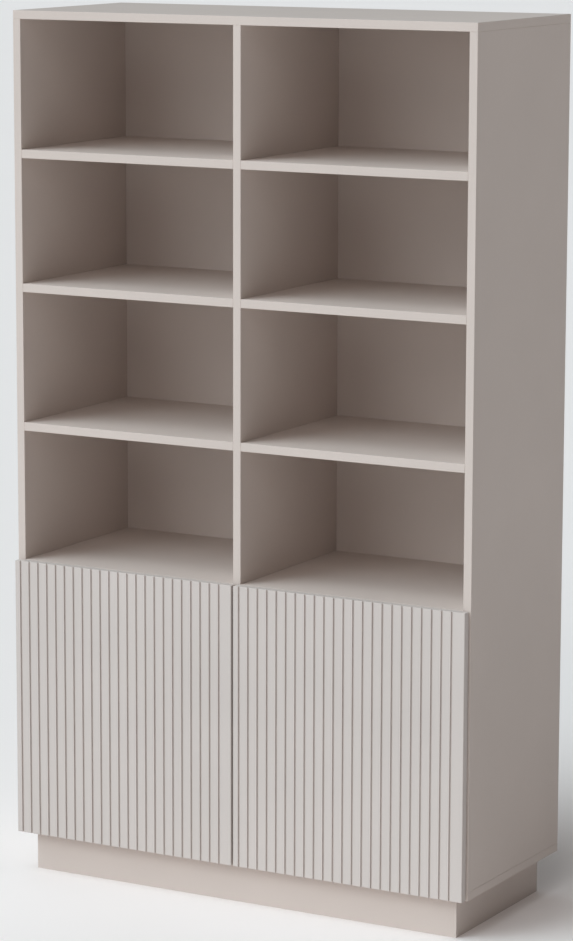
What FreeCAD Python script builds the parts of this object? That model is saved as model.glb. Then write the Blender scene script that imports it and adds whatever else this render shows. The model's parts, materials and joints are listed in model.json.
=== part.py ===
import FreeCAD, Part
import os
import re
import Sketcher

# Bookcase with two cabinet doors: four open cells on each side of a centre divider, a cabinet with
# fluted doors below, and a plinth set back all round. Millimetres, front towards -Y, floor at Z = 0.

# Driving sizes: name, value and meaning. Each one is a cell of the sheet.
SIZES = [
    ("case_width", 968, "over the side panels"),
    ("case_depth", 384, "side panels, without the doors"),
    ("board", 16, "thickness of the case boards"),
    ("edge_bevel", 0.5, "bevel of the board edges"),
    ("cabinet_height", 614.5, "floor to the top face of the cabinet"),
    ("lower_cell", 250, "clear height of the lowest open cell"),
    ("middle_cell", 250, "clear height of the next cell up"),
    ("upper_cell", 237.5, "clear height of the next cell up"),
    ("top_cell", 244, "clear height of the top cell"),
    ("back_thickness", 3, "back panels"),
    ("back_inset", 8, "rear edge of the case to the back panels"),
    ("groove_depth", 6, "grooves that hold the back panels"),
    ("fit_gap", 0.2, "play of a piece that slides into its seat"),
    ("plinth_height", 77, "floor to the bottom panel"),
    ("plinth_side_inset", 29, "side panel to the plinth"),
    ("plinth_rear_inset", 28, "rear edge of the case to the plinth"),
    ("plinth_front_inset", 13, "front edge of the case to the plinth"),
    ("plinth_board", 16, "thickness of the plinth boards"),
    ("block_leg", 42, "legs of the corner blocks in the plinth"),
    ("block_height", 52, "height of the corner blocks"),
    ("housing_depth", 5, "stopped housings that hold the fixed shelves"),
    ("housing_stop", 14, "front edge of an upright to its housings"),
    ("tongue_thickness", 8, "tongues on the ends of the uprights"),
    ("tongue_height", 6, "tongues on the ends of the uprights"),
    ("tongue_stop", 30, "front or rear edge of an upright to its tongues"),
    ("door_thickness", 16, "doors"),
    ("door_gap", 2, "case to the closed doors"),
    ("door_side_reveal", 3.5, "side panel to the outer door edge"),
    ("door_middle_gap", 4.5, "between the two doors"),
    ("door_top_reveal", 0.5, "top face of the cabinet to the door top"),
    ("door_bottom_reveal", 0.5, "bottom face of the case to the door bottom"),
    ("door_bevel", 0.8, "bevel of the door edges"),
    ("flute_first", 12.5, "left door edge to the first flute"),
    ("flute_pitch", 20, "flute to flute"),
    ("flute_width", 3.6, "flute at its floor"),
    ("flute_depth", 3, "flutes in the door face"),
    ("flute_lip", 0.5, "bevel along the flute edges"),
    ("cabinet_shelf_lift", 240, "bottom panel to the adjustable shelf"),
    ("cabinet_shelf_setback", 22, "case front to the adjustable shelf"),
    ("cabinet_shelf_play", 1, "adjustable shelf to each upright"),
    ("pin_diameter", 5, "shelf pins and their holes"),
    ("pin_grip", 6, "shelf pin in the upright"),
    ("pin_reach", 8, "shelf pin under the shelf"),
    ("pin_front_inset", 60, "case front to the front pin holes"),
    ("pin_rear_inset", 60, "shelf rear to the rear pin holes"),
    ("pin_step", 32, "step between the pin holes of one row"),
    ("hinge_inset", 80, "door top or bottom to the hinge centre"),
    ("cup_edge", 4, "door edge to the hinge cup"),
    ("cup_diameter", 35, "hinge cup"),
    ("cup_depth", 11.5, "hinge cup in the door"),
    ("cup_wall", 0.8, "hinge cup"),
    ("cup_floor", 0.6, "hinge cup"),
    ("flange_thickness", 1, "flange of a hinge cup"),
    ("flange_width", 24, "flange of a hinge cup"),
    ("flange_reach", 31, "hinge centre to the end of a flange"),
    ("flange_start", 9.6, "hinge centre to the start of a flange"),
    ("hinge_pin", 2, "pivot pins of the hinges, diameter"),
    ("hinge_pin_gap", 0.1, "play of a link on its pin"),
    ("open_pivot_gap", 1.3, "play of the inner link on its cup pin"),
    ("rear_pivot_in", 19, "side panel to the rear pivot of the arm"),
    ("rear_pivot_back", 24, "case front to the rear pivot of the arm"),
    ("front_pivot_in", 27.7, "side panel to the front pivot of the arm"),
    ("front_pivot_back", 1, "case front to the front pivot of the arm"),
    ("outer_cup_pivot_in", 9.1, "door edge to the outer pivot in the cup"),
    ("outer_cup_pivot_deep", 4, "door back to the outer pivot in the cup"),
    ("inner_cup_pivot_in", 14.6, "door edge to the inner pivot in the cup"),
    ("inner_cup_pivot_deep", 5.7, "door back to the inner pivot in the cup"),
    ("inner_eye_shift_in", 0.3, "inner pivot to the centre of the loose eye"),
    ("inner_eye_shift_deep", 1.1, "inner pivot to the centre of the loose eye"),
    ("elbow_in", 17.5, "door edge to the elbow of the outer link"),
    ("elbow_deep", 8, "door back to the elbow of the outer link"),
    ("link_width", 3, "bars of the links"),
    ("link_eye", 4.8, "eyes of the links"),
    ("loose_eye", 6.4, "eye of the inner link at the cup"),
    ("barrel_diameter", 6, "barrel of the outer link on the arm"),
    ("inner_link_height", 6.4, "inner link along its pins"),
    ("ear_thickness", 1.2, "ears in the cup"),
    ("ear_width", 4.4, "ears in the cup"),
    ("plate_gap", 0.4, "between the stacked hinge plates"),
    ("outer_plate", 1.6, "plates of the outer link"),
    ("cheek", 1.6, "cheeks of the arm"),
    ("cheek_eye", 5.2, "ends of the cheeks"),
    ("arm_front", 33, "case front to the channel of the arm"),
    ("arm_length", 25, "channel of the arm"),
    ("arm_web", 1.6, "web of the arm"),
    ("arm_clear", 2.4, "side panel to the lower edge of the cheeks"),
    ("rail_height", 9.2, "rail of a mounting plate"),
    ("rail_front", 29, "case front to the rail"),
    ("rail_length", 28, "rail of a mounting plate"),
    ("plate_thickness", 2, "wings of a mounting plate"),
    ("plate_wing_width", 12, "wings of a mounting plate"),
    ("plate_wing_span", 48, "wings of a mounting plate"),
    ("peg_line", 37, "case front to the pegs of a mounting plate"),
    ("peg_spread", 16, "hinge centre to the pegs"),
    ("peg_diameter", 5, "pegs"),
    ("peg_length", 11, "pegs in the side panel"),
    ("latch_offset", 56, "centre of the case to a push latch"),
    ("latch_diameter", 10, "sleeve of a push latch"),
    ("latch_length", 56, "sleeve of a push latch"),
    ("plunger_diameter", 6, "plunger of a push latch"),
    ("plunger_length", 46, "plunger in its sleeve"),
    ("plunger_tip", 7.6, "soft tip of a plunger"),
    ("plunger_tip_length", 1.2, "soft tip of a plunger"),
    ("running_gap", 0.3, "between pieces that move past each other"),
]

# Sizes that follow from the driving ones, in the same names.
DERIVED = {
    "case_left": "-case_width / 2",
    "case_front": "(door_gap + door_thickness - case_depth) / 2",
    "cell_width": "(case_width - 3 * board) / 2",
    "inner_bottom": "plinth_height + board",
    "inner_top": "upper_shelf_z + board + top_cell",
    "inner_height": "inner_top - inner_bottom",
    "groove_front": "case_depth - back_inset - back_thickness - fit_gap",
    "groove_width": "back_thickness + 2 * fit_gap",
    "shelf_depth": "case_depth - back_inset - back_thickness - fit_gap",
    "back_reach": "groove_depth - fit_gap",
    "shelf_tongue": "housing_depth - fit_gap",
    "tongue_length": "case_depth - 2 * tongue_stop",
    "cabinet_top_z": "cabinet_height - board",
    "lower_shelf_z": "cabinet_height + lower_cell",
    "middle_shelf_z": "lower_shelf_z + board + middle_cell",
    "upper_shelf_z": "middle_shelf_z + board + upper_cell",
    "left_cell_x": "case_left + board",
    "right_cell_x": "board / 2",
    "plinth_width": "case_width - 2 * plinth_side_inset",
    "plinth_depth": "case_depth - plinth_front_inset - plinth_rear_inset",
    "plinth_front_y": "case_front + plinth_front_inset",
    "plinth_back_y": "plinth_front_y + plinth_depth",
    "door_width": "(case_width - door_middle_gap) / 2 - door_side_reveal",
    "door_bottom": "plinth_height + door_bottom_reveal",
    "door_height": "cabinet_height - door_top_reveal - door_bottom",
    "door_front": "case_front - door_gap - door_thickness",
    "left_door_x": "case_left + door_side_reveal",
    "right_door_x": "door_middle_gap / 2",
    "flute_count": "floor((door_width - flute_first) / flute_pitch)",
    "cabinet_shelf_z": "inner_bottom + cabinet_shelf_lift",
    "cabinet_shelf_width": "cell_width - 2 * cabinet_shelf_play",
    "cabinet_shelf_depth": "shelf_depth - cabinet_shelf_setback",
    "pin_z": "cabinet_shelf_z - pin_diameter / 2 - fit_gap",
    "pin_front_y": "pin_front_inset",
    "pin_rear_y": "shelf_depth - pin_rear_inset",
    "pin_bore": "pin_diameter + 2 * fit_gap",
    "cup_centre_u": "door_side_reveal + cup_edge + cup_diameter / 2",
    "cup_bore": "cup_diameter + 2 * fit_gap",
    "rear_u": "board + rear_pivot_in",
    "front_u": "board + front_pivot_in",
    "outer_u": "door_side_reveal + outer_cup_pivot_in",
    "outer_v": "door_gap + outer_cup_pivot_deep",
    "inner_u": "door_side_reveal + inner_cup_pivot_in",
    "inner_v": "door_gap + inner_cup_pivot_deep",
    "eye_u": "inner_u + inner_eye_shift_in",
    "eye_v": "inner_v + inner_eye_shift_deep",
    "elbow_u": "door_side_reveal + elbow_in",
    "elbow_v": "door_gap + elbow_deep",
    "pin_hole": "hinge_pin + 2 * hinge_pin_gap",
    "loose_hole": "hinge_pin + 2 * open_pivot_gap",
    "ear_low": "inner_link_height / 2 + plate_gap",
    "plate_low": "ear_low + ear_thickness + plate_gap",
    "cheek_low": "plate_low + outer_plate + plate_gap",
    "arm_half": "cheek_low + cheek",
    "rail_half": "cheek_low - fit_gap",
    "web_u": "board + rail_height + fit_gap",
    "lower_hinge_z": "door_bottom + hinge_inset",
    "upper_hinge_z": "door_bottom + door_height - hinge_inset",
    "latch_z": "cabinet_top_z + board / 2",
}

# The four levels of fixed shelves, from the top down, with the height of their undersides.
SHELF_LEVELS = [("upper_shelf", "upper_shelf_z"), ("middle_shelf", "middle_shelf_z"),
                ("lower_shelf", "lower_shelf_z"), ("cabinet_top", "cabinet_top_z")]

# Middles of the three uprights.
UPRIGHT_MIDDLES = ("case_left + board / 2", "0", "-case_left - board / 2")

# Hinge points in plan: inward from the side panel's outer face, forward from the case front.
REAR_PIVOT = ("rear_u", "-rear_pivot_back")
FRONT_PIVOT = ("front_u", "-front_pivot_back")
OUTER_PIVOT = ("outer_u", "outer_v")
INNER_PIVOT = ("inner_u", "inner_v")
LOOSE_EYE = ("eye_u", "eye_v")
ELBOW = ("elbow_u", "elbow_v")

# Directions that a piece made along +X can be turned to.
FULL_TURN = 360
UP_AXIS = FreeCAD.Vector(0, 0, 1)
DEPTH_AXIS = FreeCAD.Vector(0, 1, 0)
AHEAD = FreeCAD.Rotation()
ABOUT = FreeCAD.Rotation(UP_AXIS, 180)
BACKWARD = FreeCAD.Rotation(UP_AXIS, 90)
OVER = FreeCAD.Rotation(DEPTH_AXIS, 180)

doc = FreeCAD.newDocument("bookcase")
dims = doc.addObject("Spreadsheet::Sheet", "dims")
nodes = []


def fill_sheet():
    for row, (name, value, meaning) in enumerate(SIZES, start=1):
        dims.set(f"A{row}", name)
        dims.set(f"B{row}", str(value))
        dims.set(f"C{row}", meaning)
        dims.setAlias(f"B{row}", name)
    doc.recompute()


def formula(text):
    """Spell out derived names and point the driving ones at the sheet."""
    driving = {name for name, _, _ in SIZES}

    def spell(match):
        name = match.group(0)
        if name in DERIVED:
            return f"({formula(DERIVED[name])})"
        return f"dims.{name}" if name in driving else name

    return re.sub(r"[a-z_][a-z_0-9]*", spell, str(text))


def value(text):
    result = dims.evalExpression(formula(text))
    return float(getattr(result, "Value", result))


def bind(item, prop, text):
    item.setExpression(prop, formula(text))


def place(item, x, y, z):
    for axis, text in zip("xyz", (x, y, z)):
        bind(item, f"Placement.Base.{axis}", text)
    return item


def new_body(label, is_node=True):
    body = doc.addObject("PartDesign::Body", label)
    body.Label = label
    if is_node:
        nodes.append(body)
    return body


def new_sketch(body, name, role, x="0", y="0", lift="0"):
    """A sketch on one of the body's own planes, moved by x, y and along its normal by lift."""
    sketch = body.newObject("Sketcher::SketchObject", name)
    plane = [item for item in body.Origin.OriginFeatures if item.Role == role][0]
    sketch.AttachmentSupport = [(plane, "")]
    sketch.MapMode = "FlatFace"
    for axis, text in zip("xyz", (x, y, lift)):
        bind(sketch, f"AttachmentOffset.Base.{axis}", text)
    return sketch


def pin_point(sketch, geometry, corner, x, y):
    """Hold one point of the sketch at a place given in sizes."""
    for kind, axis, text in (("DistanceX", -2, x), ("DistanceY", -1, y)):
        if str(text) == "0":
            sketch.addConstraint(Sketcher.Constraint("PointOnObject", geometry, corner, axis))
            continue
        row = sketch.addConstraint(Sketcher.Constraint(kind, -1, 1, geometry, corner, value(text)))
        bind(sketch, f"Constraints[{row}]", text)


def outline(sketch, points):
    """A closed outline of straight lines through points given in sizes."""
    spots = [FreeCAD.Vector(value(x), value(y), 0) for x, y in points]
    count = len(spots)
    for index, spot in enumerate(spots):
        sketch.addGeometry(Part.LineSegment(spot, spots[(index + 1) % count]), False)
    for index in range(count):
        sketch.addConstraint(Sketcher.Constraint("Coincident", index, 2, (index + 1) % count, 1))
    for index, (x, y) in enumerate(points):
        pin_point(sketch, index, 1, x, y)
    return sketch


def rectangle(sketch, across, along):
    return outline(sketch, [("0", "0"), (across, "0"), (across, along), ("0", along)])


def circles(sketch, centres, diameter):
    for index, (x, y) in enumerate(centres):
        spot = FreeCAD.Vector(value(x), value(y), 0)
        sketch.addGeometry(Part.Circle(spot, UP_AXIS, value(diameter) / 2), False)
        pin_point(sketch, index, 3, x, y)
        if index:
            sketch.addConstraint(Sketcher.Constraint("Equal", 0, index))
    row = sketch.addConstraint(Sketcher.Constraint("Diameter", 0, value(diameter)))
    bind(sketch, f"Constraints[{row}]", diameter)
    return sketch


def pad(body, sketch, length, along_normal=True):
    feature = body.newObject("PartDesign::Pad", f"{body.Name}_pad")
    feature.Profile = sketch
    bind(feature, "Length", length)
    feature.Reversed = not along_normal
    doc.recompute()
    return feature


def pocket(body, sketch, depth, along_normal):
    """Cut into the body; the volume shows that the cut went the right way."""
    before = body.Shape.Volume
    feature = body.newObject("PartDesign::Pocket", f"{body.Name}_pocket")
    feature.Profile = sketch
    bind(feature, "Length", depth)
    feature.Reversed = along_normal
    doc.recompute()
    if not body.Shape.Volume < before:
        raise ValueError(f"{body.Label}: {sketch.Name} cut nothing")
    return feature


def pattern(body, feature, sketch, axis, length, count):
    """Repeat a cut along one axis of its sketch."""
    copies = body.newObject("PartDesign::LinearPattern", f"{body.Name}_pattern")
    copies.Originals = [feature]
    copies.Direction = (sketch, [axis])
    bind(copies, "Length", length)
    bind(copies, "Occurrences", count)
    body.Tip = copies
    doc.recompute()
    return copies


def bevel_edges(body, feature, size, keep):
    """Bevel the edges of a feature whose middle point passes the test."""
    chosen = []
    for index, edge in enumerate(feature.Shape.Edges, start=1):
        if keep(edge.CenterOfMass):
            chosen.append(f"Edge{index}")
    bevel = body.newObject("PartDesign::Chamfer", f"{body.Name}_bevel")
    bevel.Base = (feature, chosen)
    bind(bevel, "Size", size)
    doc.recompute()
    return bevel


def every_edge(_):
    return True


def front_edges(middle):
    return abs(middle.y) < value("fit_gap")


def flat_board(label, across, deep, thick, x, y, z, keep=every_edge):
    """A lying board: its front left lower corner is the body's origin."""
    body = new_body(label)
    sketch = rectangle(new_sketch(body, f"{label}_outline", "XY_Plane"), across, deep)
    bevel_edges(body, pad(body, sketch, thick), "edge_bevel", keep)
    return place(body, x, y, z)


def upright_board(label, deep, high, thick, x, y, z, keep=every_edge):
    """A standing board that faces sideways."""
    body = new_body(label)
    sketch = rectangle(new_sketch(body, f"{label}_outline", "YZ_Plane"), deep, high)
    bevel_edges(body, pad(body, sketch, thick), "edge_bevel", keep)
    return place(body, x, y, z)


def back_groove(body, role, x, y, lift, across, along, along_normal):
    sketch = new_sketch(body, f"{body.Name}_groove", role, x, y, lift)
    pocket(body, rectangle(sketch, across, along), "groove_depth", along_normal)


def make_top_and_bottom():
    groove_span = "case_width - 2 * board + 2 * groove_depth"
    top = flat_board("top_panel", "case_width", "case_depth", "board",
                     "case_left", "case_front", "inner_top")
    back_groove(top, "XY_Plane", "board - groove_depth", "groove_front", "0",
                groove_span, "groove_width", True)
    bottom = flat_board("bottom_panel", "case_width", "case_depth", "board",
                        "case_left", "case_front", "plinth_height")
    back_groove(bottom, "XY_Plane", "board - groove_depth", "groove_front", "board",
                groove_span, "groove_width", False)


def make_uprights():
    left = upright_board("left_side_panel", "case_depth", "inner_height", "board",
                         "case_left", "case_front", "inner_bottom")
    back_groove(left, "YZ_Plane", "groove_front", "0", "board", "groove_width", "inner_height", False)
    right = upright_board("right_side_panel", "case_depth", "inner_height", "board",
                          "-case_left - board", "case_front", "inner_bottom")
    back_groove(right, "YZ_Plane", "groove_front", "0", "0", "groove_width", "inner_height", True)
    divider = upright_board("centre_divider", "case_depth", "inner_height", "board",
                            "-board / 2", "case_front", "inner_bottom", front_edges)
    back_groove(divider, "YZ_Plane", "groove_front", "0", "board", "groove_width", "inner_height", False)
    back_groove(divider, "YZ_Plane", "groove_front", "0", "0", "groove_width", "inner_height", True)


def make_shelf(label, x, z):
    """A fixed shelf; its ends reach into the uprights behind the front edge."""
    body = new_body(label)
    end = "cell_width + shelf_tongue"
    sketch = outline(new_sketch(body, f"{label}_outline", "XY_Plane"), [
        ("0", "0"), ("cell_width", "0"), ("cell_width", "housing_stop"), (end, "housing_stop"),
        (end, "shelf_depth"), ("-shelf_tongue", "shelf_depth"), ("-shelf_tongue", "housing_stop"),
        ("0", "housing_stop")])
    bevel_edges(body, pad(body, sketch, "board"), "edge_bevel", front_edges)
    place(body, x, "case_front", z)


def make_shelves():
    for name, height in SHELF_LEVELS:
        make_shelf(f"{name}_left", "left_cell_x", height)
        make_shelf(f"{name}_right", "right_cell_x", height)


def make_backs():
    for side, x in (("left", "left_cell_x"), ("right", "right_cell_x")):
        body = new_body(f"back_panel_{side}")
        sketch = new_sketch(body, f"back_{side}_outline", "XZ_Plane")
        rectangle(sketch, "cell_width + 2 * back_reach", "inner_height + 2 * back_reach")
        pad(body, sketch, "back_thickness", along_normal=False)
        place(body, f"{x} - back_reach", "case_front + groove_front + fit_gap", "inner_bottom - back_reach")


def make_plinth():
    """Four boards with mitred corners."""
    def mitred(label, length, turn, x, y):
        body = new_body(label)
        sketch = new_sketch(body, f"{label}_outline", "XY_Plane")
        outline(sketch, [("0", "0"), (length, "0"), (f"{length} - plinth_board", "plinth_board"),
                         ("plinth_board", "plinth_board")])
        pad(body, sketch, "plinth_height")
        body.Placement.Rotation = FreeCAD.Rotation(UP_AXIS, turn)
        place(body, x, y, "0")

    half = "plinth_width / 2"
    mitred("plinth_front", "plinth_width", 0, f"-{half}", "plinth_front_y")
    mitred("plinth_right", "plinth_depth", 90, half, "plinth_front_y")
    mitred("plinth_back", "plinth_width", 180, half, "plinth_back_y")
    mitred("plinth_left", "plinth_depth", 270, f"-{half}", "plinth_back_y")


def make_door(side, x):
    """A fluted door; both doors have the same row of flutes from left to right."""
    body = new_body(f"{side}_door")
    sketch = new_sketch(body, f"{side}_door_outline", "XZ_Plane")
    rectangle(sketch, "door_width", "door_height")
    slab = pad(body, sketch, "door_thickness", along_normal=False)
    bevel_edges(body, slab, "door_bevel", every_edge)
    flute = new_sketch(body, f"{side}_flute", "XY_Plane", "flute_first", "0", "-flute_depth")
    half = "flute_width / 2"
    mouth = f"({half} + flute_lip)"
    outline(flute, [(f"-{mouth}", "-flute_depth"), (mouth, "-flute_depth"), (mouth, "0"), (half, "flute_lip"),
                    (half, "flute_depth"), (f"-{half}", "flute_depth"), (f"-{half}", "flute_lip"),
                    (f"-{mouth}", "0")])
    cut = pocket(body, flute, "door_height + 2 * flute_depth", True)
    pattern(body, cut, flute, "H_Axis", "flute_pitch * (flute_count - 1)", "flute_count")
    place(body, x, "door_front", "door_bottom")
    return body


def make_doors():
    make_door("left", "left_door_x")
    make_door("right", "right_door_x")


def board_of(label):
    return [node for node in nodes if node.Label == label][0]


def bore(body, name, role, lift, centres, diameter, depth, along_normal):
    sketch = circles(new_sketch(body, name, role, lift=lift), centres, diameter)
    return sketch, pocket(body, sketch, depth, along_normal)


def cut_housings(body, lift, along_normal):
    """Stopped housings for the fixed shelves in one face of an upright."""
    for name, height in SHELF_LEVELS:
        sketch = new_sketch(body, f"{body.Name}_{name}_housing", "YZ_Plane", "housing_stop - fit_gap",
                            f"{height} - inner_bottom", lift)
        pocket(body, rectangle(sketch, "shelf_depth - housing_stop + fit_gap", "board + fit_gap"),
               "housing_depth", along_normal)


def add_tongues(body):
    """Stopped tongues on both ends of an upright."""
    for lift, upward in (("0", False), ("inner_height", True)):
        sketch = new_sketch(body, f"{body.Name}_tongue", "XY_Plane", "(board - tongue_thickness) / 2",
                            "tongue_stop", lift)
        pad(body, rectangle(sketch, "tongue_thickness", "tongue_length"), "tongue_height", upward)


def cut_tongue_slots(body, lift, along_normal):
    """Slots for the tongues of the three uprights."""
    for middle in UPRIGHT_MIDDLES:
        sketch = new_sketch(body, f"{body.Name}_slot", "XY_Plane",
                            f"{middle} - case_left - tongue_thickness / 2 - fit_gap",
                            "tongue_stop - fit_gap", lift)
        pocket(body, rectangle(sketch, "tongue_thickness + 2 * fit_gap", "tongue_length + 2 * fit_gap"),
               "tongue_height + fit_gap", along_normal)


def bore_pin_holes(body, lift, along_normal):
    """Holes at the height of the cabinet shelf, one step above it and one step below."""
    spots = [(row, f"pin_z - inner_bottom + {steps} * pin_step")
             for row in ("pin_front_y", "pin_rear_y") for steps in (-1, 0, 1)]
    bore(body, f"{body.Name}_pin_holes", "YZ_Plane", lift, spots, "pin_bore", "pin_grip + fit_gap", along_normal)


def bore_peg_holes(body, lift, along_normal):
    """Holes for the pegs of the two mounting plates."""
    spots = [("peg_line", f"{height} - inner_bottom {way} peg_spread")
             for height in ("lower_hinge_z", "upper_hinge_z") for way in "+-"]
    bore(body, f"{body.Name}_peg_holes", "YZ_Plane", lift, spots, "peg_diameter + 2 * fit_gap",
         "peg_length + fit_gap", along_normal)


def join_case():
    """What the boards of the case need to hold each other, the shelf pins, hinges and latches."""
    inner_faces = [("left_side_panel", "board", False), ("right_side_panel", "0", True),
                   ("centre_divider", "0", True), ("centre_divider", "board", False)]
    for label, lift, along_normal in inner_faces:
        cut_housings(board_of(label), lift, along_normal)
        bore_pin_holes(board_of(label), lift, along_normal)
        if label != "centre_divider":
            bore_peg_holes(board_of(label), lift, along_normal)
    for label in ("left_side_panel", "right_side_panel", "centre_divider"):
        add_tongues(board_of(label))
    cut_tongue_slots(board_of("top_panel"), "0", True)
    cut_tongue_slots(board_of("bottom_panel"), "board", False)
    for side, x in (("left", "cell_width + board / 2 - latch_offset"), ("right", "latch_offset - board / 2")):
        bore(board_of(f"cabinet_top_{side}"), f"{side}_latch_bore", "XZ_Plane", "0", [(x, "board / 2")],
             "latch_diameter + 2 * fit_gap", "latch_length + fit_gap", False)


def spin(body, sketch):
    feature = body.newObject("PartDesign::Revolution", f"{body.Name}_turned")
    feature.Profile = sketch
    feature.ReferenceAxis = (sketch, ["H_Axis"])
    feature.Angle = FULL_TURN
    doc.recompute()
    return body


def turned(label, steps, is_node=False):
    """A turned piece along +X: steps of length and diameter, one after the other."""
    body = new_body(label, is_node)
    points = [("0", "0")]
    reach = "0"
    for length, diameter in steps:
        points.append((reach, f"{diameter} / 2"))
        reach = length if reach == "0" else f"{reach} + {length}"
        points.append((reach, f"{diameter} / 2"))
    points.append((reach, "0"))
    return spin(body, outline(new_sketch(body, f"{label}_profile", "XY_Plane"), points))


def copies(label, spots):
    """One node of separate like pieces: each spot is a master piece, a turn and a place."""
    links = []
    for index, (master, turn, x, y, z) in enumerate(spots, start=1):
        link = doc.addObject("App::Link", f"{label}_{index}")
        link.LinkedObject = master
        link.LinkTransform = False
        link.Placement = FreeCAD.Placement(FreeCAD.Vector(0, 0, 0), turn)
        links.append(place(link, x, y, z))
    group = doc.addObject("Part::Compound", label)
    group.Label = label
    group.Links = links
    nodes.append(group)


def make_plinth_blocks():
    block = new_body("corner_block", is_node=False)
    sketch = new_sketch(block, "corner_block_outline", "XY_Plane")
    pad(block, outline(sketch, [("0", "0"), ("block_leg", "0"), ("0", "block_leg")]), "block_height")
    half = "plinth_width / 2 - plinth_board"
    front, back = "plinth_front_y + plinth_board", "plinth_back_y - plinth_board"
    corners = [(0, f"-({half})", front), (90, half, front), (180, half, back), (270, f"-({half})", back)]
    copies("plinth_blocks", [(block, FreeCAD.Rotation(UP_AXIS, turn), x, y, "plinth_height - block_height")
                             for turn, x, y in corners])


def make_cabinet_shelves():
    pin = turned("shelf_pin", [("(pin_grip + pin_reach)", "pin_diameter")])
    spots = []
    for side, cell in (("left", "left_cell_x"), ("right", "right_cell_x")):
        flat_board(f"cabinet_shelf_{side}", "cabinet_shelf_width", "cabinet_shelf_depth", "board",
                   f"{cell} + cabinet_shelf_play", "case_front + cabinet_shelf_setback", "cabinet_shelf_z",
                   front_edges)
        for row in ("pin_front_y", "pin_rear_y"):
            y = f"case_front + {row}"
            spots.append((pin, AHEAD, f"{cell} - pin_grip", y, "pin_z"))
            spots.append((pin, ABOUT, f"{cell} + cell_width + pin_grip", y, "pin_z"))
    copies("shelf_pins", spots)


def bore_doors():
    """Seats for the hinge cups in the door backs."""
    centre = "cup_edge + cup_diameter / 2"
    for side, x in (("left", centre), ("right", f"door_width - ({centre})")):
        spots = [(x, "hinge_inset"), (x, "door_height - hinge_inset")]
        bore(board_of(f"{side}_door"), f"{side}_cup_seats", "XZ_Plane", "-door_thickness", spots,
             "cup_bore", "cup_depth + fit_gap", True)


def bar_points(start, end, width):
    """Corners of a straight bar between two points of the plan."""
    (u1, v1), (u2, v2) = start, end
    across, along = f"({u2} - ({u1}))", f"({v2} - ({v1}))"
    length = f"sqrt({across} ^ 2 + {along} ^ 2)"
    du, dv = f"{width} / 2 * {along} / {length}", f"{width} / 2 * {across} / {length}"
    return [(f"{u1} - {du}", f"{v1} + {dv}"), (f"{u2} - {du}", f"{v2} + {dv}"),
            (f"{u2} + {du}", f"{v2} - {dv}"), (f"{u1} + {du}", f"{v1} - {dv}")]


def plan(points):
    """Plan points are inward from the side panel's outer face and forward from the case front."""
    return [(u, f"-({v})") for u, v in points]


def plan_bar(body, start, end, width, low, thick):
    sketch = new_sketch(body, f"{body.Name}_bar", "XY_Plane", lift=low)
    pad(body, outline(sketch, plan(bar_points(start, end, width))), thick)


def plan_disc(body, centre, diameter, low, thick):
    sketch = new_sketch(body, f"{body.Name}_disc", "XY_Plane", lift=low)
    pad(body, circles(sketch, plan([centre]), diameter), thick)


def plan_hole(body, centre, diameter, reach):
    """A hole along the hinge axis, over the height from -reach to +reach."""
    bore(body, f"{body.Name}_hole", "XY_Plane", f"-({reach})", plan([centre]), diameter, f"2 * ({reach})", True)


def layers(low, thick):
    """The same layer above and below the middle of the hinge."""
    return [f"{low}", f"-({low}) - {thick}"]


def make_outer_link(label):
    body = new_body(label)
    reach = "(plate_low + outer_plate)"
    plan_disc(body, REAR_PIVOT, "barrel_diameter", f"-{reach}", f"2 * {reach}")
    for low in layers("plate_low", "outer_plate"):
        plan_bar(body, REAR_PIVOT, ELBOW, "link_width", low, "outer_plate")
        plan_disc(body, ELBOW, "link_width", low, "outer_plate")
        plan_bar(body, ELBOW, OUTER_PIVOT, "link_width", low, "outer_plate")
        plan_disc(body, OUTER_PIVOT, "link_eye", low, "outer_plate")
    plan_hole(body, REAR_PIVOT, "pin_hole", f"{reach} + plate_gap")
    plan_hole(body, OUTER_PIVOT, "pin_hole", f"{reach} + plate_gap")
    return body


def make_inner_link(label):
    body = new_body(label)
    low = "-inner_link_height / 2"
    plan_bar(body, FRONT_PIVOT, LOOSE_EYE, "link_width", low, "inner_link_height")
    plan_disc(body, FRONT_PIVOT, "link_eye", low, "inner_link_height")
    plan_disc(body, LOOSE_EYE, "loose_eye", low, "inner_link_height")
    plan_hole(body, FRONT_PIVOT, "pin_hole", "inner_link_height")
    plan_hole(body, LOOSE_EYE, "loose_hole", "inner_link_height")
    return body


def make_arm(label):
    """A channel that rides on the mounting plate, with two cheeks and the riveted pins of the links."""
    body = new_body(label)
    back, front, top = "-(arm_front + arm_length)", "-arm_front", "(web_u + arm_web)"
    sketch = new_sketch(body, f"{label}_web", "XY_Plane", lift="-arm_half")
    outline(sketch, plan([("web_u", back), (top, back), (top, front), ("web_u", front)]))
    pad(body, sketch, "2 * arm_half")
    low_edge = "(board + arm_clear)"
    wide = "cheek_eye / 2"
    side = [(low_edge, back), (top, back), (top, front), (f"rear_u + {wide}", "-rear_pivot_back"),
            (f"rear_u - {wide}", "-rear_pivot_back"), (low_edge, front)]
    for low in layers("cheek_low", "cheek"):
        cheek = new_sketch(body, f"{label}_cheek", "XY_Plane", lift=low)
        pad(body, outline(cheek, plan(side)), "cheek")
        plan_disc(body, REAR_PIVOT, "cheek_eye", low, "cheek")
        plan_bar(body, REAR_PIVOT, FRONT_PIVOT, "cheek_eye", low, "cheek")
        plan_disc(body, FRONT_PIVOT, "cheek_eye", low, "cheek")
    plan_disc(body, REAR_PIVOT, "hinge_pin", "-arm_half", "2 * arm_half")
    plan_disc(body, FRONT_PIVOT, "hinge_pin", "-arm_half", "2 * arm_half")
    return body


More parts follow.
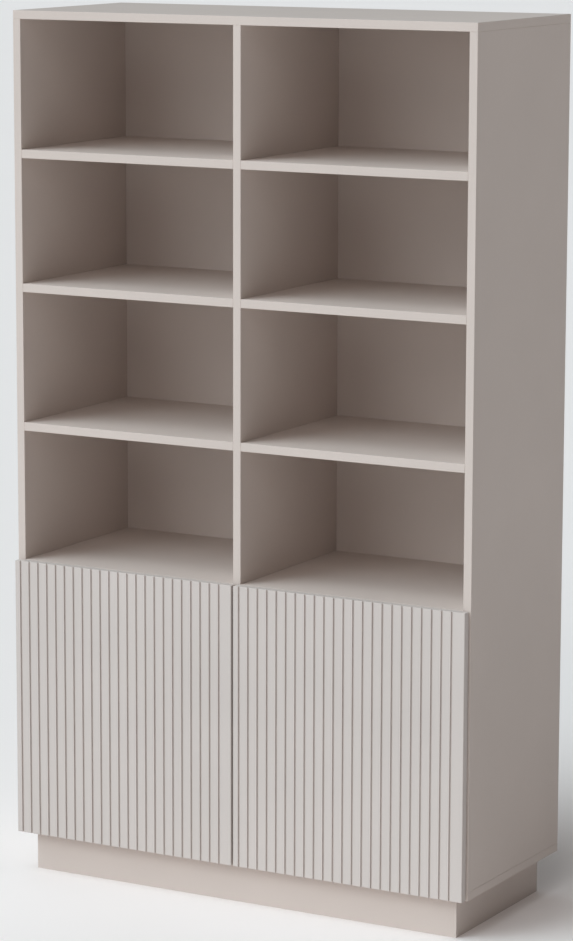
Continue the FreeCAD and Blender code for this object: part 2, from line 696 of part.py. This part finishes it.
def make_cup(label):
    """A round cup with two flanges on the door back, two ears and the riveted pins of the links."""
    body = new_body(label)
    centre = [("cup_centre_u", "0")]
    disc = circles(new_sketch(body, f"{label}_disc", "XZ_Plane", lift="door_gap"), centre, "cup_diameter")
    pad(body, disc, "cup_depth")
    rim = "door_gap - flange_thickness"
    for start in ("flange_start", "-flange_reach"):
        flange = new_sketch(body, f"{label}_flange", "XZ_Plane", "cup_centre_u - flange_width / 2", start, rim)
        pad(body, rectangle(flange, "flange_width", "flange_reach - flange_start"), "flange_thickness")
    bore(body, f"{label}_mouth", "XZ_Plane", rim, centre, "cup_diameter - 2 * cup_wall",
         "flange_thickness + cup_depth - cup_floor", True)
    floor = "(door_gap + cup_depth - cup_floor / 2)"
    half = "ear_width / 2"
    for low in layers("ear_low", "ear_thickness"):
        ear = new_sketch(body, f"{label}_ear", "XY_Plane", lift=low)
        pad(body, outline(ear, plan([(f"inner_u - {half}", "inner_v"), (f"inner_u + {half}", "inner_v"),
                                     (f"inner_u + {half}", floor), (f"inner_u - {half}", floor)])),
            "ear_thickness")
        plan_disc(body, INNER_PIVOT, "ear_width", low, "ear_thickness")
    plan_disc(body, INNER_PIVOT, "hinge_pin", "-ear_low - ear_thickness", "2 * (ear_low + ear_thickness)")
    chord = "(cup_centre_u - outer_u + hinge_pin / 2)"
    half_pin = f"(sqrt((cup_diameter / 2) ^ 2 - {chord} ^ 2) - hinge_pin_gap / 2)"
    plan_disc(body, OUTER_PIVOT, "hinge_pin", f"-{half_pin}", f"2 * {half_pin}")
    return body


def make_mounting_plate():
    """A rail with two wings, pressed into the side panel with two pegs."""
    body = new_body("mounting_plate", is_node=False)
    rail = new_sketch(body, "plate_rail", "YZ_Plane", "rail_front", "-rail_half", "board")
    pad(body, rectangle(rail, "rail_length", "2 * rail_half"), "rail_height")
    wing = new_sketch(body, "plate_wing", "YZ_Plane", "peg_line - plate_wing_width / 2",
                      "-plate_wing_span / 2", "board")
    pad(body, rectangle(wing, "plate_wing_width", "plate_wing_span"), "plate_thickness")
    pegs = circles(new_sketch(body, "plate_pegs", "YZ_Plane", lift="board"),
                   [("peg_line", "peg_spread"), ("peg_line", "-peg_spread")], "peg_diameter")
    pad(body, pegs, "peg_length", along_normal=False)
    return body


def make_hinges():
    """Two concealed hinges on each door; the right ones are the left ones turned over."""
    plate = make_mounting_plate()
    pieces = [("hinge_arm", make_arm), ("outer_link", make_outer_link), ("inner_link", make_inner_link),
              ("hinge_cup", make_cup)]
    plates = []
    for side, turn, x in (("left", AHEAD, "case_left"), ("right", OVER, "-case_left")):
        for level, z in (("upper", "upper_hinge_z"), ("lower", "lower_hinge_z")):
            for piece, make in pieces:
                body = make(f"{level}_{side}_{piece}")
                body.Placement.Rotation = turn
                place(body, x, "case_front", z)
            plates.append((plate, turn, x, "case_front", z))
    copies("hinge_plates", plates)


def make_latches():
    """Push latches sunk into the front edges of the cabinet top."""
    inside, outside = "(plunger_diameter / 2 + running_gap)", "latch_diameter / 2"
    floor = "(latch_length - (latch_diameter - plunger_diameter) / 2)"
    for side, x in (("left", "-latch_offset"), ("right", "latch_offset")):
        sleeve = new_body(f"{side}_latch_sleeve")
        spin(sleeve, outline(new_sketch(sleeve, f"{side}_sleeve_profile", "XY_Plane"), [
            ("0", inside), ("0", outside), ("latch_length", outside), ("latch_length", "0"),
            (floor, "0"), (floor, inside)]))
        plunger = turned(f"{side}_latch_plunger", [("plunger_tip_length", "plunger_tip"),
                                                   ("plunger_length", "plunger_diameter")], is_node=True)
        for body, y in ((sleeve, "case_front"), (plunger, "case_front - door_gap + running_gap")):
            body.Placement.Rotation = BACKWARD
            place(body, x, y, "latch_z")


def check_and_write():
    doc.recompute()
    for item in doc.Objects:
        if "Invalid" in item.State or "Error" in item.State:
            raise ValueError(f"{item.Label}: {item.State}")
    os.makedirs("parts", exist_ok=True)
    for node in nodes:
        shape = node.Shape
        if shape.isNull() or not shape.isValid() or not shape.Solids:
            raise ValueError(f"{node.Label}: no valid solid")
        shape.exportStep(f"parts/{node.Label}.step")
        print(node.Label, len(shape.Solids), round(shape.Volume))


fill_sheet()
make_top_and_bottom()
make_uprights()
make_shelves()
make_backs()
make_plinth()
make_doors()
join_case()
bore_doors()
make_plinth_blocks()
make_cabinet_shelves()
make_hinges()
make_latches()
check_and_write()
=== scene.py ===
import json
import math

import bmesh
import bpy
from mathutils import Matrix, Vector


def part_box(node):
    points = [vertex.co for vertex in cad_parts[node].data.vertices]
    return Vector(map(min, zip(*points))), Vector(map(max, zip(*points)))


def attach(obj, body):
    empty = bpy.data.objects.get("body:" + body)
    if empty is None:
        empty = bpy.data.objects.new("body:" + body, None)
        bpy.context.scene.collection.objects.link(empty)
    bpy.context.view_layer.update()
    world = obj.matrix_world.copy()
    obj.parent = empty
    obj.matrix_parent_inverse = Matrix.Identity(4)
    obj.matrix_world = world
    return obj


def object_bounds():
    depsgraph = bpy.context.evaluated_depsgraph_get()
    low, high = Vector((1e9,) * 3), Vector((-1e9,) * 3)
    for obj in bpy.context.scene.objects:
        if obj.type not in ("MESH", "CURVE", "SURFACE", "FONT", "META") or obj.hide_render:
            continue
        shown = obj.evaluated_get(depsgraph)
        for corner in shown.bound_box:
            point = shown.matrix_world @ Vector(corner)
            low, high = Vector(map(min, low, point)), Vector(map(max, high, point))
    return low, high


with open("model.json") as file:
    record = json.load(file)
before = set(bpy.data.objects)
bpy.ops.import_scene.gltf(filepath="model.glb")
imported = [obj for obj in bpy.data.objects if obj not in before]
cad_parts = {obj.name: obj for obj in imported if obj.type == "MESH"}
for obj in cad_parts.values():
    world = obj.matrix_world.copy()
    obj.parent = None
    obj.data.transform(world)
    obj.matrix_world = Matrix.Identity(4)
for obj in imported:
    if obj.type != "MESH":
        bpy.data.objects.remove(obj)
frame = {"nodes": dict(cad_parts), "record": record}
cad_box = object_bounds()

X, Y, Z = range(3)

# Photograph: size in pixels, and the place where the camera's axis meets it.
PHOTO_WIDTH = 573
PHOTO_HEIGHT = 941
AXIS_X = 234.96
AXIS_Y = 477.31
FOCAL_PIXELS = 3553.5

# Camera in the case's own axes, in metres and degrees, with its sensor in millimetres.
CAMERA_PLACE = (3.2306, -5.7716, 1.9595)
CAMERA_AZIMUTH = 30.06
CAMERA_ELEVATION = 10.05
CAMERA_REACH = 1000.0
SENSOR = 36.0

# Lights: azimuth from the front towards the right, elevation, angle across, strength, colour.
LIGHTS = {
    "key": (-46.0, 41.0, 46.0, 1.84, (0.800, 0.930, 1.0)),
    "low": (-22.0, 14.0, 30.0, 0.40, (0.870, 0.955, 1.0)),
    "fill": (12.0, 34.0, 30.0, 0.47, (1.0, 0.985, 0.980)),
    "top": (-24.0, 75.0, 30.0, 0.64, (0.900, 0.970, 1.0)),
    "rear": (-138.0, 52.0, 34.0, 0.32, (0.850, 0.950, 1.0)),
}
SKY_STRENGTH = 0.14

# Floor: half of its width, in metres.
FLOOR_HALF = 400.0

# Screws of the hinges, in metres: heads with a cross recess, and where they sit on the hinge pieces.
SCREW_RADIUS = 0.0030
SCREW_HEIGHT = 0.0008
SCREW_SIDES = 24
SHOULDER_HEIGHT_SHARE = 0.5
CROWN_RADIUS_SHARE = 0.82
CROSS_ARMS = 4
CROSS_REACH = 0.0019
CROSS_HALF_WIDTH = 0.0004
CROSS_DEPTH = 0.0007
ARM_FACE_IN = 0.0270
ARM_SCREWS_FROM_REAR = (0.0060, 0.0190)
WING_FACE_IN = 0.0180
WING_BACK = 0.0370
WING_SPREAD = 0.0160
FLANGE_SPREAD = 0.0242

DOORS = ("left_door", "right_door")

# Tones, as linear colours.
GREIGE = (0.640, 0.552, 0.504, 1.0)
DOOR_GREIGE = (0.615, 0.550, 0.516, 1.0)
# The back board's greige is the case's greige made about 5% lighter: painted light for the shaded backs of
# the cells.
PAINTED_LIGHT_BACK_GREIGE = (0.675, 0.580, 0.528, 1.0)
RAW_BOARD = (0.205, 0.120, 0.066, 1.0)
BEECH = (0.470, 0.300, 0.160, 1.0)
NICKEL = (0.600, 0.590, 0.570, 1.0)
LATCH_GREY = (0.300, 0.295, 0.290, 1.0)
FLOOR_WHITE = (0.965, 0.902, 0.876, 1.0)
SPECK = (0.965, 0.965, 0.962, 1.0)
WHITE = (1.0, 1.0, 1.0, 1.0)

# Finishes: scale, detail and roughness of each noise, shares of a tone by place in its noise,
# roughness of the surface from and to, and strength and depth in metres of each bump.
NOISE_ROUGHNESS = 0.55

CLOUD_NOISE = (3.2, 2.0)
CLOUD_SHARES = {0.3: 0.975, 0.7: 1.025}
SPECK_NOISE = (900.0, 2.0)
SPECK_TONES = {0.35: SPECK, 0.65: WHITE}
SATIN_NOISE = (40.0, 4.0)
SATIN_ROUGHNESS = (0.42, 0.54)
SATIN_SPECULAR = 0.2
PRESSED_NOISE = (1500.0, 2.0)
PRESSED_BUMP = (0.12, 0.0002)

FIBRE_NOISE = (55.0, 6.0, 0.7)
FIBRE_STRETCH = (1.0, 1.0, 3.0)
FIBRE_SHARES = {0.25: 0.8, 0.55: 1.0, 0.8: 1.3}
REAR_FACING = 0.5

GRAIN_NOISE = (18.0, 6.0, 0.65)
GRAIN_STRETCH = (9.0, 9.0, 0.8)
GRAIN_SHARES = {0.3: 0.72, 0.5: 1.0, 0.75: 1.2}
GRAIN_ROUGHNESS = (0.55, 0.75)
GRAIN_BUMP = (0.25, 0.0004)

BRUSHED_NOISE = (260.0, 4.0, 0.6)
BRUSHED_STRETCH = (1.0, 14.0, 1.0)
BRUSHED_SHARES = {0.3: 0.86, 0.7: 1.08}
BRUSHED_BUMP = (0.08, 0.0001)
POLISH_NOISE = (120.0, 3.0)
POLISH_ROUGHNESS = (0.22, 0.38)
FULL_METAL = 1.0

MOULDED_NOISE = (700.0, 3.0)
MOULDED_SHARES = {0.3: 0.92, 0.7: 1.06}
MOULDED_ROUGHNESS = (0.45, 0.6)
MOULDED_BUMP = (0.15, 0.0002)

FLOOR_TONE_NOISE = (0.8, 3.0)
FLOOR_SHARES = {0.3: 0.99, 0.7: 1.0}
FLOOR_MATT_NOISE = (6.0, 3.0)
FLOOR_ROUGHNESS = (0.85, 0.95)
FLOOR_SPECULAR = 0.1
FLOOR_BUMP_NOISE = (220.0, 2.0)
FLOOR_BUMP = (0.05, 0.0005)


def shade(colour, share):
    return (*[channel * share for channel in colour[:3]], 1.0)


class Graph:
    """The nodes of one finish, laid out in the object's own metres."""

    MIX_FACTOR, MIX_FIRST, MIX_SECOND, MIX_RESULT = 0, 6, 7, 2

    def __init__(self, name):
        self.material = bpy.data.materials.new(name)
        self.material.use_nodes = True
        self.tree = self.material.node_tree
        self.shader = self.tree.nodes["Principled BSDF"]
        self.surface = self.add("ShaderNodeTexCoord").outputs

    def add(self, kind, **values):
        node = self.tree.nodes.new(kind)
        for key, value in values.items():
            setattr(node, key, value)
        return node

    def join(self, source, target):
        self.tree.links.new(source, target)

    def stretched(self, scale):
        node = self.add("ShaderNodeMapping")
        node.inputs["Scale"].default_value = scale
        self.join(self.surface["Object"], node.inputs["Vector"])
        return node.outputs["Vector"]

    def noise(self, scale, detail, roughness=NOISE_ROUGHNESS, vector=None):
        node = self.add("ShaderNodeTexNoise")
        node.inputs["Scale"].default_value = scale
        node.inputs["Detail"].default_value = detail
        node.inputs["Roughness"].default_value = roughness
        self.join(vector or self.surface["Object"], node.inputs["Vector"])
        return node.outputs["Fac"]

    def ramp(self, source, colours):
        node = self.add("ShaderNodeValToRGB")
        elements = node.color_ramp.elements
        first, *between, last = colours.items()
        for element, (place, colour) in zip(elements, (first, last)):
            element.position = place
            element.color = colour
        for place, colour in between:
            elements.new(place).color = colour
        self.join(source, node.inputs["Fac"])
        return node.outputs["Color"]

    def tones(self, source, colour, shares):
        return self.ramp(source, {place: shade(colour, share) for place, share in shares.items()})

    def spread(self, source, low, high):
        node = self.add("ShaderNodeMapRange")
        node.inputs["To Min"].default_value = low
        node.inputs["To Max"].default_value = high
        self.join(source, node.inputs["Value"])
        return node.outputs["Result"]

    def mix(self, first, second, **values):
        node = self.add("ShaderNodeMix", data_type="RGBA", **values)
        self.join(first, node.inputs[self.MIX_FIRST])
        self.join(second, node.inputs[self.MIX_SECOND])
        return node.inputs[self.MIX_FACTOR], node.outputs[self.MIX_RESULT]

    def multiply(self, first, second):
        factor, result = self.mix(first, second, blend_type="MULTIPLY")
        factor.default_value = 1.0
        return result

    def choose(self, second_where, first, second):
        factor, result = self.mix(first, second)
        self.join(second_where, factor)
        return result

    def bump(self, source, strength, depth):
        node = self.add("ShaderNodeBump")
        node.inputs["Strength"].default_value = strength
        node.inputs["Distance"].default_value = depth
        self.join(source, node.inputs["Height"])
        self.feed("Normal", node.outputs["Normal"])

    def feed(self, name, source):
        self.join(source, self.shader.inputs[name])

    def set(self, name, value):
        self.shader.inputs[name].default_value = value


def laminate(name, colour):
    """Satin melamine: a faint cloud, a fine print of specks and a fine pressed grain."""
    graph = Graph(name)
    cloud = graph.tones(graph.noise(*CLOUD_NOISE), colour, CLOUD_SHARES)
    specks = graph.ramp(graph.noise(*SPECK_NOISE), SPECK_TONES)
    graph.feed("Base Color", graph.multiply(cloud, specks))
    graph.feed("Roughness", graph.spread(graph.noise(*SATIN_NOISE), *SATIN_ROUGHNESS))
    graph.bump(graph.noise(*PRESSED_NOISE), *PRESSED_BUMP)
    graph.set("Specular IOR Level", SATIN_SPECULAR)
    return graph


def back_board():
    """Thin fibreboard: laminated towards the cells in a greige lightened as painted light for the shaded
    cell backs, raw brown towards the wall.
    """
    graph = laminate("back_board", PAINTED_LIGHT_BACK_GREIGE)
    # The laminated face carries the lightened greige, painted light for the shaded backs of the cells.
    front = graph.shader.inputs["Base Color"].links[0].from_socket
    fibres = graph.noise(*FIBRE_NOISE, graph.stretched(FIBRE_STRETCH))
    raw = graph.tones(fibres, RAW_BOARD, FIBRE_SHARES)
    facing = graph.add("ShaderNodeSeparateXYZ")
    graph.join(graph.surface["Normal"], facing.inputs["Vector"])
    rear = graph.add("ShaderNodeMath", operation="GREATER_THAN")
    rear.inputs[1].default_value = REAR_FACING
    graph.join(facing.outputs["Y"], rear.inputs[0])
    graph.feed("Base Color", graph.choose(rear.outputs[0], front, raw))
    return graph


def plain_beech():
    """Raw beech with upright grain."""
    graph = Graph("plain_beech")
    grain = graph.noise(*GRAIN_NOISE, graph.stretched(GRAIN_STRETCH))
    graph.feed("Base Color", graph.tones(grain, BEECH, GRAIN_SHARES))
    graph.feed("Roughness", graph.spread(grain, *GRAIN_ROUGHNESS))
    graph.bump(grain, *GRAIN_BUMP)
    return graph


def nickel():
    """Nickel-plated steel with fine brush marks."""
    graph = Graph("nickel_steel")
    brushed = graph.noise(*BRUSHED_NOISE, graph.stretched(BRUSHED_STRETCH))
    graph.feed("Base Color", graph.tones(brushed, NICKEL, BRUSHED_SHARES))
    graph.feed("Roughness", graph.spread(graph.noise(*POLISH_NOISE), *POLISH_ROUGHNESS))
    graph.bump(brushed, *BRUSHED_BUMP)
    graph.set("Metallic", FULL_METAL)
    return graph


def latch_plastic():
    """Grey plastic with a fine moulded grain."""
    graph = Graph("latch_plastic")
    grain = graph.noise(*MOULDED_NOISE)
    graph.feed("Base Color", graph.tones(grain, LATCH_GREY, MOULDED_SHARES))
    graph.feed("Roughness", graph.spread(grain, *MOULDED_ROUGHNESS))
    graph.bump(grain, *MOULDED_BUMP)
    return graph


def pale_floor():
    """A matt, nearly even white."""
    graph = Graph("pale_floor")
    graph.feed("Base Color", graph.tones(graph.noise(*FLOOR_TONE_NOISE), FLOOR_WHITE, FLOOR_SHARES))
    graph.feed("Roughness", graph.spread(graph.noise(*FLOOR_MATT_NOISE), *FLOOR_ROUGHNESS))
    graph.bump(graph.noise(*FLOOR_BUMP_NOISE), *FLOOR_BUMP)
    graph.set("Specular IOR Level", FLOOR_SPECULAR)
    return graph


def dress_nodes():
    """Gives each CAD node the finish of its slot, and the doors their own tone."""
    finishes = {
        "laminate": laminate("greige_laminate", GREIGE),
        "back_board": back_board(),
        "steel": nickel(),
        "plain_wood": plain_beech(),
        "latch_plastic": latch_plastic(),
    }
    doors = laminate("door_laminate", DOOR_GREIGE)
    for part in frame["record"]["subparts"]:
        finish = doors if part["node"] in DOORS else finishes[part["material_slot"]]
        mesh = frame["nodes"][part["node"]].data
        mesh.materials.clear()
        mesh.materials.append(finish.material)
    return finishes


def ring(head, radius, height):
    turns = [math.tau * step / SCREW_SIDES for step in range(SCREW_SIDES)]
    return [head.verts.new((radius * math.cos(turn), radius * math.sin(turn), height)) for turn in turns]


def cross(head, height):
    corners = []
    for arm in range(CROSS_ARMS):
        turn = Matrix.Rotation(math.tau * arm / CROSS_ARMS, 3, "Z")
        for x, y in ((CROSS_HALF_WIDTH, CROSS_REACH), (-CROSS_HALF_WIDTH, CROSS_REACH),
                     (-CROSS_HALF_WIDTH, CROSS_HALF_WIDTH)):
            corners.append(head.verts.new(turn @ Vector((x, y, height))))
    return corners


def pairs(loop):
    return zip(loop, loop[1:] + loop[:1])


def wall(head, low, high):
    for (first, second), (above_first, above_second) in zip(pairs(low), pairs(high)):
        head.faces.new((first, second, above_second, above_first))


def loop_edges(head, loop):
    return [head.edges.get(pair) for pair in pairs(loop)]


def screw_head(head, spot, facing):
    """A low round head with a rolled shoulder and a cross recess, standing on a face."""
    older = set(head.verts)
    foot = ring(head, SCREW_RADIUS, 0.0)
    shoulder = ring(head, SCREW_RADIUS, SCREW_HEIGHT * SHOULDER_HEIGHT_SHARE)
    crown = ring(head, SCREW_RADIUS * CROWN_RADIUS_SHARE, SCREW_HEIGHT)
    mouth = cross(head, SCREW_HEIGHT)
    bottom = cross(head, SCREW_HEIGHT - CROSS_DEPTH)
    wall(head, foot, shoulder)
    wall(head, shoulder, crown)
    wall(head, mouth, bottom)
    head.faces.new(bottom)
    bmesh.ops.triangle_fill(head, edges=loop_edges(head, crown) + loop_edges(head, mouth), use_beauty=True)
    turn = facing.to_track_quat("Z", "Y").to_matrix().to_4x4()
    fresh = [vert for vert in head.verts if vert not in older]
    bmesh.ops.transform(head, matrix=Matrix.Translation(spot) @ turn, verts=fresh)


def screw_set(name, spots, facing, body, material):
    head = bmesh.new()
    for spot in spots:
        screw_head(head, Vector(spot), facing)
    bmesh.ops.recalc_face_normals(head, faces=head.faces)
    mesh = bpy.data.meshes.new(name)
    head.to_mesh(mesh)
    head.free()
    mesh.materials.append(material)
    piece = bpy.data.objects.new(name, mesh)
    bpy.context.scene.collection.objects.link(piece)
    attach(piece, body)


def middle(box, axis):
    return (box[0][axis] + box[1][axis]) / 2


def above_and_below(x, y, height, spread):
    return [(x, y, height + way * spread) for way in (-1, 1)]


def hinge_screws(material):
    """Adjusting screws in each arm, fixing screws in the wings of its plate and the flanges of its cup."""
    case_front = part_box("bottom_panel")[0][Y]
    rearward = Vector((0.0, 1.0, 0.0))
    for side, inward, outer in (("left", 1.0, cad_box[0][X]), ("right", -1.0, cad_box[1][X])):
        inside = Vector((inward, 0.0, 0.0))
        for level in ("upper", "lower"):
            arm_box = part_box(f"{level}_{side}_hinge_arm")
            cup_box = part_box(f"{level}_{side}_hinge_cup")
            height = middle(arm_box, Z)
            arm_x = outer + inward * ARM_FACE_IN
            arm = [(arm_x, arm_box[1][Y] - back, height) for back in ARM_SCREWS_FROM_REAR]
            wing_x = outer + inward * WING_FACE_IN
            wing = above_and_below(wing_x, case_front + WING_BACK, height, WING_SPREAD)
            flange = above_and_below(middle(cup_box, X), cup_box[1][Y], height, FLANGE_SPREAD)
            screw_set(f"{level}_{side}_arm_screws", arm + wing, inside, "carcass", material)
            screw_set(f"{level}_{side}_cup_screws", flange, rearward, f"{side}_leaf", material)


def floor():
    corners = [(x * FLOOR_HALF, y * FLOOR_HALF, 0) for x, y in ((-1, -1), (1, -1), (1, 1), (-1, 1))]
    mesh = bpy.data.meshes.new("floor")
    mesh.from_pydata(corners, [], [(0, 1, 2, 3)])
    mesh.materials.append(pale_floor().material)
    plane = bpy.data.objects.new("floor", mesh)
    bpy.context.scene.collection.objects.link(plane)


def towards(azimuth, elevation):
    turn = math.radians(azimuth)
    rise = math.radians(elevation)
    return Vector((math.sin(turn) * math.cos(rise), -math.cos(turn) * math.cos(rise), math.sin(rise)))


def sky():
    world = bpy.data.worlds.new("studio")
    world.use_nodes = True
    background = world.node_tree.nodes["Background"]
    background.inputs["Color"].default_value = WHITE
    background.inputs["Strength"].default_value = SKY_STRENGTH
    bpy.context.scene.world = world


def lights():
    for name, (azimuth, elevation, across, strength, colour) in LIGHTS.items():
        sun = bpy.data.lights.new(name, "SUN")
        sun.energy = strength
        sun.color = colour
        sun.angle = math.radians(across)
        lamp = bpy.data.objects.new(name, sun)
        lamp.rotation_euler = towards(azimuth, elevation).to_track_quat("Z", "Y").to_euler()
        bpy.context.scene.collection.objects.link(lamp)


def camera():
    data = bpy.data.cameras.new("camera")
    data.sensor_width = SENSOR
    data.lens = FOCAL_PIXELS / PHOTO_HEIGHT * SENSOR
    data.shift_x = (PHOTO_WIDTH / 2 - AXIS_X) / PHOTO_HEIGHT
    data.shift_y = (AXIS_Y - PHOTO_HEIGHT / 2) / PHOTO_HEIGHT
    data.clip_end = CAMERA_REACH
    eye = bpy.data.objects.new("camera", data)
    eye.location = CAMERA_PLACE
    eye.rotation_euler = (math.radians(90.0 - CAMERA_ELEVATION), 0.0, math.radians(CAMERA_AZIMUTH))
    bpy.context.scene.collection.objects.link(eye)
    bpy.context.scene.camera = eye
    bpy.context.scene.view_settings.view_transform = "Standard"


steel = dress_nodes()["steel"].material
hinge_screws(steel)
floor()
sky()
lights()
camera()
